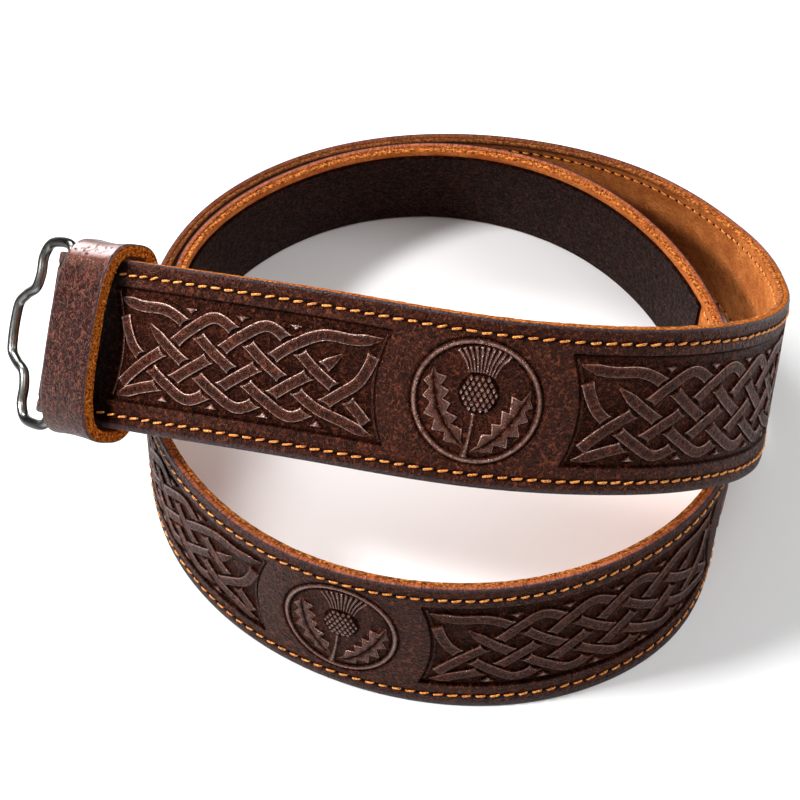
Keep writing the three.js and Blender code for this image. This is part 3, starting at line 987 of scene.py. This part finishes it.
# Medallion: its floor's height above the face, and from the outside in radius, height and antique and
# painted light value of its rings: painted shade in the grooves, painted highlight along the raised bar
MEDALLION_FLOOR = -0.35
MEDALLION_RINGS = np.array([
    (23.2, 0.015, 0), (22.2, 0.0, 0), (21.6, -0.12, 0.3), (21.2, -0.42, 1), (20.8, -0.25, 0.5),
    (20.4, 0.2, -0.9), (19.9, 0.32, -1.5), (19.4, 0.2, -0.9), (19.0, -0.25, 0.5), (18.7, -0.5, 1),
    (18.3, -0.42, 0.6), (17.7, MEDALLION_FLOOR, 0.15), (14.0, MEDALLION_FLOOR, 0.05),
    (8.0, MEDALLION_FLOOR, 0.05), (3.0, MEDALLION_FLOOR, 0.05)])
STEM_LINE = [(-0.4, -3.6), (-0.8, -9), (-1.6, -15), (-2.4, -18.8)]
PETALS = 10
BULB_MIDDLE = np.array([0.7, 2.9])
BULB_REACH = np.array([6.6, 7.0])
SCALE_OUTLINE = np.array([(0, 1.42), (-0.62, 0.75), (-0.9, 0), (-0.6, -0.75), (0, -1.3),
                          (0.6, -0.75), (0.9, 0), (0.62, 0.75)])
SCALE_COLUMN = 1.95
SCALE_ROW = 1.68


def circle(count):
    """Flat points round a circle of radius 1."""
    turn = np.linspace(0, 2 * math.pi, count, endpoint=False)
    return np.stack([np.cos(turn), np.sin(turn)], -1)


def thistle_relief():
    """Ring, flower, bulb, stem and two spiny leaves of a medallion. z is measured from the face."""
    relief = Parts()
    radii, height, shade = MEDALLION_RINGS.T
    dome(relief, radii[:, None, None] * circle(120), (0, 0), height, shade)

    def stroke(points, widths, rise):
        line, length, _ = smooth_line(points)
        ribbon(relief, line, length, 0, length[-1], (np.linspace(0, length[-1], len(widths)), widths), rise,
               STEM, MEDALLION_FLOOR, step=0.7, end_wall=0.2)

    for midrib, *sides in LEAVES:
        leaf(relief, midrib, sides, 0.85, MEDALLION_FLOOR)
    stroke(STEM_LINE, [1.7, 1.6, 1.6, 1.9, 2.6], 0.85)
    for k in range(PETALS):
        share = (k + 0.5) / PETALS
        foot = np.array([-3.2 + 8.7 * share, 9.3 + 0.9 * math.sin(math.pi * share) - 0.8 * share])
        angle = math.radians(121 - 64 * share)
        top = np.array([1.2, 2.6]) + 16.0 * np.array([math.cos(angle) * 1.08, math.sin(angle)])
        bow = foot * 0.5 + top * 0.5 + np.array([-(share - 0.5) * 1.3, 0.2])
        stroke([foot, bow, top], [0.95, 1.1, 1.35, 1.72, 1.3], 0.8)

    rings = np.array([1.0, 0.97, 0.85, 0.6, 0.3])[:, None, None]
    lift = np.array([-0.1, 0.35, 0.6, 0.85, 0.95])
    dome(relief, BULB_MIDDLE + rings * BULB_REACH * circle(40), BULB_MIDDLE, MEDALLION_FLOOR + lift, 1.0)
    for row in range(-4, 5):
        for column in range(-4, 5):
            place = np.array([(column + row % 2 / 2) * SCALE_COLUMN, row * SCALE_ROW])
            away = np.hypot(*(place / (BULB_REACH - 0.35)))
            if away > 0.97:
                continue
            squeeze = np.array([1 - 0.35 * (abs(place[0]) / BULB_REACH[0]) ** 2, 1 - 0.12 * away])
            at = BULB_MIDDLE + place * np.array([1 - 0.06 * away, 1])
            lift = np.interp(away, [0, 0.6, 0.85, 1], [0.95, 0.85, 0.6, 0.35])
            pillow(relief, at + SCALE_OUTLINE * squeeze, 0.42, MEDALLION_FLOOR + lift - 0.05)
    return relief


def lay_relief(relief, parts, along, height, floor):
    """Lays flat relief on the strap: along is added to x, height to y, and z counts from depth floor."""
    flat, quads, triangles, values = relief.joined()
    s = flat[:, 0] + along
    h = flat[:, 1] + height
    # Below zero: rubbed tone and painted highlight, made stronger or weaker along the strap. Above zero:
    # antique dye and painted shade, with the low front's painted shade added.
    sunk = values["sunk"]
    sunk = np.where(sunk < 0, sunk * wear_and_highlight_share(s), sunk + LOW_FRONT_PAINTED_SHADE * low_front_painted_shade(s))
    parts.add(face_point(s, h, floor - flat[:, 2]), quads, triangles,
              place=np.stack([s, h, 0 * s], 1), sunk=sunk, fibre=0.0, pink=0.0, bevel=0.0)


# Lining, hook-and-loop strip, keeper, ring and seams

def lining_skin():
    """The suede lining with rough edges and a groove along each seam."""
    near = OUTER_LEATHER + 0.05
    far = STRAP_THICKNESS
    # Distance from the edge, depth, fibre
    edge = [(0.0, near + 0.06, 1), (0.0, near + 0.75, 1), (0.02, far - 0.35, 1), (0.3, far - 0.05, 0.8),
            (0.8, far, 0.15)]
    half = [(place, 0) for place in (0, 5, 10, 15, 20, 22.8)]
    half += [(SEAM_HEIGHT + step, depth) for step, depth in LINING_GROOVE] + [(24.6, 0), (26, 0)]
    columns = [("low", *row) for row in edge]
    columns += [("middle", -place, far - depth, 0) for place, depth in half[:0:-1]]
    columns += [("middle", place, far - depth, 0) for place, depth in half]
    columns += [("high", *row) for row in reversed(edge)]
    rows = np.linspace(2 * FOLD_RADIUS + LINING_LEATHER, STRAP_LENGTH, 950)
    s = np.broadcast_to(rows[:, None], (len(rows), len(columns)))
    h = skin_heights(s, columns, LINING_INSET, HALF - LINING_INSET * 0.4)
    d = np.broadcast_to([column[2] for column in columns], s.shape)
    fibre = np.array([column[3] for column in columns], float)
    rough = np.random.default_rng(4).normal(0, 0.12, h.shape)
    h -= np.abs(rough) * (fibre > 0.5) * np.sign(h)
    # Painted shade on the lining's upper edge, darkest at its inner side, standing in for the dark gap
    # between the turns.
    gap_shade = np.interp(d[0], [near, far - 0.35, far], [0.5, 0.8, 1])
    gap_shade = gap_shade * np.array([column[0] == "high" for column in columns])
    dim = np.maximum(turn_edge_painted_shade(s) * gap_shade, 0.3 * low_front_painted_shade(s))
    parts = Parts()
    add_skin(parts, face_point(s, h, d), np.stack([s, h, d], -1), True, fibre=fibre, dim=dim)
    return parts


def strip_skin():
    """The dark strip on the lining. Its start is cut at a slant and it is slightly wrinkled across."""
    near = STRAP_THICKNESS + 0.02
    far = STRAP_THICKNESS + LAYER_GAP + STRIP_THICKNESS
    top = HALF - STRIP_TOP_MARGIN
    edge = [(0, near), (0.05, far - 0.35), (0.3, far - 0.05), (0.8, far)]
    columns = [("low", *row) for row in edge] + [("middle", h, far) for h in np.linspace(-26, 22.6, 26)]
    columns += [("high", *row) for row in reversed(edge)]
    rough_height = {"low": -HALF, "high": top}
    height = np.array([rough_height.get(kind, place) for kind, place, _ in columns])
    start = STRIP_START + (top - height) * 0.1
    s = start + np.linspace(0, 1, 420)[:, None] * (STRAP_LENGTH - STRIP_THICKNESS - start)
    h = skin_heights(s, columns, STRIP_BOTTOM_MARGIN, top)
    depth = np.array([column[2] for column in columns])
    wrinkle = np.zeros_like(h)
    waves = 60
    spans = ((2.5, 9), (0.2, 1), (-0.08, 0.08), (0, 6.3))
    rng = np.random.default_rng(9)
    for _ in range(waves):
        pitch, strength, tilt, phase = (rng.uniform(*span) for span in spans)
        wrinkle += strength * np.sin(2 * math.pi * s / pitch + tilt * h + phase) / waves
    d = depth + (0.5 * wrinkle - 0.05) * (depth == far)
    parts = Parts()
    add_skin(parts, face_point(s, h, d), np.stack([s, h, d], -1), True)
    return parts


def keeper_skin():
    """Thick leather loop with rounded rims. fibre marks its raw edges."""
    centre, along, across, outward, _ = strap_frame(np.array(KEEPER_PLACE))
    back_depth = TAIL_DEPTH + KEEPER_BACK_STAND
    half_depth = (KEEPER_FRONT_STAND + back_depth) / 2
    middle_depth = (back_depth - KEEPER_FRONT_STAND) / 2
    half_height = HALF + KEEPER_CLEARANCE
    t = KEEPER_THICKNESS
    w = KEEPER_WIDTH / 2
    # Rim: distance in from the side, height above the inner face, fibre, bevel
    rim = [(0.15, 0.12, 1, 0), (0, 0.45, 1, 0), (0, t * 0.35, 1, 0), (0, t * 0.6, 1, 0), (0, t - 1.2, 1, 0),
           (0.05, t - 0.75, 0.5, 0), (0.25, t - 0.35, 0, 1), (0.7, t - 0.06, 0, 0.5)]
    profile = [(x, 0.0, 0.3, 0) for x in (-w + 0.5, -w / 2, 0, w / 2, w - 0.5)]
    profile += [(w - inset, *row) for inset, *row in rim]
    outside = len(profile) + 1
    profile += [(x, t, 0, 0) for x in (w - 1.4, w / 2, 0, -w / 2, -w + 1.4)]
    profile += [(inset - w, *row) for inset, *row in reversed(rim)]
    side, lift, fibre, bevel = np.array(profile).T
    steps = 300
    shape = (steps, len(profile))
    angle = (math.pi + 2 * math.pi * np.arange(steps) / steps)[:, None]
    rng = np.random.default_rng(2)
    offset = lift + rng.normal(0, 0.05, shape) * (fibre > 0.9)
    side = side + rng.normal(0, 0.06, shape) * (fibre > 0.9)

    def bent(value):
        return np.sign(value) * np.abs(value) ** (2 / KEEPER_SQUARENESS)

    dip = KEEPER_PINCH * np.abs(np.sin(angle)) ** 8 * (1 - (side / w) ** 2)
    height = (half_height + offset - dip) * bent(np.sin(angle))
    depth = middle_depth - (half_depth + offset) * bent(np.cos(angle))
    lengthwise = side + KEEPER_SLANT * height / half_height
    points = centre + across * height[..., None] - outward * depth[..., None] + along * lengthwise[..., None]
    around = running_length(np.stack([height[:, outside], depth[:, outside]], 1))[:, None]
    # Painted highlight across the keeper's top front bend, where the light's glossy reflection falls.
    shine_angle = 2 * math.pi + 1.05
    painted_highlight = 2.9 * np.exp(-((angle - shine_angle) / 0.22) ** 2) * (lift > t - 0.02)
    parts = Parts()
    # Painted shade on the keeper's inner face.
    parts.add(points, grid_quads(*shape, wrap_rows=True), place=stack_to(shape, side, around, lift),
              sunk=np.where(lift < 0.05, 0.8, 0) - painted_highlight, fibre=fibre, pink=0.0, bevel=bevel * 0.7)
    return parts


# Wire ring, upper half of its middle line: distance from the bar and height, as in the CAD part
RING = [(0, 0), (0, 0.3), (0, 0.6), (0, 0.92), (0.07, 0.98), (0.27, 1), (0.49, 0.96), (0.595, 0.82),
        (0.6, 0.62), (0.66, 0.47), (0.83, 0.38), (0.965, 0.28), (1, 0.14)]


def ring_skin():
    """Bent wire ring whose straight bar lies in the strap's fold."""
    centre, along, across, outward, _ = strap_frame(np.array(FOLD_RADIUS))
    half_height = RING_HEIGHT / 2 - WIRE_RADIUS
    upper = [(out * RING_REACH, up * half_height) for out, up in RING]
    outline = upper + [(out, -up) for out, up in upper[:0:-1]]
    lead = 4
    line, length, marks = smooth_line(outline[-lead:] + outline + outline[:lead + 1])
    begin, end = marks[lead], marks[lead + len(outline)]
    steps = 420
    sides = 20
    at = begin + (end - begin) * np.arange(steps) / steps
    out, up = line_point(line, length, at).T[..., None]
    ahead_out, ahead_up = line_direction(line, length, at).T[..., None]
    middle = centre + across * (up - RING_DROP) - outward * FOLD_RADIUS - along * out
    sideways = unit(np.cross(outward, unit(across * ahead_up - along * ahead_out)))
    cosine, sine = circle(sides).T
    points = middle[:, None] + WIRE_RADIUS * (outward * cosine[:, None] + sideways[:, None] * sine[:, None])
    parts = Parts()
    parts.add(points, grid_quads(steps, sides, wrap_rows=True)[:, ::-1],
              place=stack_to((steps, sides), at[:, None], 2 * cosine, 2 * sine))
    return parts


# Stitch, from its middle to its end: share of its length, girth as a share of the radius, how deep it sinks
STITCH = mirrored([(0, 1.06, 0), (0.32, 1.0, 0.02), (0.46, 0.72, 0.22), (0.5, 0.12, 0.5)])
THREAD_SIDES = 6
HOLE_SIDES = 8


def seam(height, depth, start, end, inward, seed, threads, holes):
    """A row of stitches: short slanted threads with needle holes between them, shallow dents coloured near
    black as painted shade.
    """
    rng = np.random.default_rng(seed)
    count = int((end - start) / STITCH_PITCH)
    middle = start + STITCH_PITCH * (np.arange(count) + 0.5)
    sign = -1 if inward else 1

    share, girth, sink = (row[:, None] for row in STITCH)
    cosine, sine = circle(THREAD_SIDES).T
    length = STITCH_LENGTH * rng.uniform(0.93, 1.07, count)
    slant = rng.normal(0.16, 0.05, count)
    shift = rng.normal(0, 0.06, count)
    x = share * length[:, None, None]
    s = middle[:, None, None] + x + 0 * cosine
    h = height + shift[:, None, None] + x * slant[:, None, None] + girth * THREAD_RADIUS * sine
    out = np.broadcast_to(0.16 + girth * THREAD_RADIUS * 0.8 * cosine - sink, s.shape)
    quads = grid_quads(len(share), THREAD_SIDES)[:, ::-sign]
    threads.add(face_point(s, h, depth - sign * out), repeated(quads, len(share) * THREAD_SIDES, count),
                place=np.stack([s, h, out], -1))

    # Holes: an outer ring, an inner ring and a middle point, each with its reach and how far it stands out
    gap = (middle[:-1] + STITCH_PITCH / 2)[:, None]
    sizes = [HOLE_SIDES, HOLE_SIDES, 1]
    reach = np.repeat([1.0, 0.55, 0.0], sizes)
    lift = np.repeat([-0.12, 0.1, 0.12], sizes)
    cosine, sine = np.concatenate([circle(HOLE_SIDES), circle(HOLE_SIDES), [(1, 0)]]).T
    s = gap + (0.78 + 0.15 * inward) * reach * cosine
    h = height - 0.12 + (0.42 + 0.2 * inward) * reach * sine + 0 * s
    points = face_point(s, h, depth + sign * (0.2 - lift - 0.25 * inward) + 0 * s)
    holes.add(points, repeated(grid_quads(2, HOLE_SIDES)[:, ::-sign], len(reach), len(gap)),
              repeated(fan(HOLE_SIDES, HOLE_SIDES)[:, ::sign], len(reach), len(gap)),
              place=np.stack([s, h * (reach > 0), 0 * s], -1))


def shift_to_frame(parts):
    """How far the path's own middle lies from the CAD part's, on the floor."""
    points = np.concatenate(parts.points)
    low, high = (np.array(corner) * 1000 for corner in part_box("strap_outer"))
    middle = (low + high) / 2 - (points.min(0) + points.max(0)) / 2
    return np.array([middle[0], middle[1], 0])


outer_skin = strap_skin()
SHIFT = shift_to_frame(outer_skin)
build("strap_skin", outer_skin, STRAP_LEATHER, ["strap_outer"])
build("lining_skin", lining_skin(), suede_material(), ["strap_lining"])
build("loop_strip_skin", strip_skin(), strip_material(), ["loop_strip"])
build("keeper_skin", keeper_skin(), KEEPER_LEATHER, ["keeper_loop"])
build("ring_skin", ring_skin(), steel_material(), ["wire_ring"])

knots = Parts()
for field_start, field_end in FIELDS:
    lay_relief(knot_relief(field_start, field_end), knots, 0, 0, FIELD_DEPTH - 0.05)
build("knotwork", knots, STRAP_LEATHER)

medallions = Parts()
thistle = thistle_relief()
for medallion_place in MEDALLIONS:
    lay_relief(thistle, medallions, medallion_place, MEDALLION_HEIGHT, 0)
build("medallions", medallions, STRAP_LEATHER)

outer_threads = Parts()
inner_threads = Parts()
needle_holes = Parts()
thread = thread_material()
for number, seam_side in enumerate((1, -1)):
    seam(seam_side * SEAM_HEIGHT, 0, 5, STRAP_LENGTH - 3, False, 11 + number, outer_threads, needle_holes)
for number, seam_side in enumerate((1, -1)):
    seam(seam_side * SEAM_HEIGHT, STRAP_THICKNESS, TAIL_LENGTH + 3, STRIP_START - 2, True, 21 + number,
         inner_threads, needle_holes)
build("stitches_outside", outer_threads, thread)
build("stitches_inside", inner_threads, thread)
build("stitch_holes", needle_holes, hole_material())


# Floor, light and camera

def make_stage():
    size = 3.0
    mesh = bpy.data.meshes.new("floor")
    corners = [(-size, -size, 0), (size, -size, 0), (size, size, 0), (-size, size, 0)]
    mesh.from_pydata(corners, [], [(0, 1, 2, 3)])
    floor = bpy.data.objects.new("floor", mesh)
    bpy.context.scene.collection.objects.link(floor)
    n = Nodes("floor_paper")
    paper = n.mix(n.noise(n.position(), 3, 2), (0.86, 0.86, 0.86), (0.9, 0.9, 0.9))
    mesh.materials.append(n.finish(Base_Color=paper, Roughness=0.9))
    world = bpy.data.worlds.new("world")
    bpy.context.scene.world = world
    world.use_nodes = True
    background = world.node_tree.nodes["Background"]
    background.inputs[0].default_value = (1, 1, 1, 1)
    background.inputs[1].default_value = 0.25


def area_light(name, place, aim, size, power):
    data = bpy.data.lights.new(name, "AREA")
    data.shape = "RECTANGLE"
    data.size, data.size_y = size
    data.energy = power
    light = bpy.data.objects.new(name, data)
    light.location = place
    light.rotation_euler = (Vector(aim) - Vector(place)).to_track_quat("-Z", "Y").to_euler()
    bpy.context.scene.collection.objects.link(light)


def make_camera():
    elevation = math.radians(CAMERA_ELEVATION)
    aim = Vector((SHIFT[0] / 1000, SHIFT[1] / 1000, CAMERA_AIM_HEIGHT))
    data = bpy.data.cameras.new("camera")
    data.sensor_width = SENSOR_WIDTH
    data.lens = FOCAL_PIXELS / PICTURE_PIXELS * SENSOR_WIDTH
    data.clip_start = 0.01
    camera = bpy.data.objects.new("camera", data)
    camera.location = aim + CAMERA_DISTANCE * Vector((0, -math.cos(elevation), math.sin(elevation)))
    camera.rotation_euler = (math.pi / 2 - elevation, 0, 0)
    bpy.context.scene.collection.objects.link(camera)
    bpy.context.scene.camera = camera


make_stage()
area_light("key", (-0.64, -0.09, 0.66), (0, -0.05, 0.04), (0.15, 0.15), 9.5)
area_light("right", (0.62, -0.05, 0.6), (0.05, 0, 0.04), (0.35, 0.35), 2.4)
area_light("back", (-0.42, 0.55, 0.68), (0, 0, 0.04), (0.4, 0.3), 9)
area_light("top", (0.15, -0.3, 0.95), (0, 0, 0.05), (0.5, 0.4), 1.6)
make_camera()
bpy.context.scene.view_settings.view_transform = "Standard"
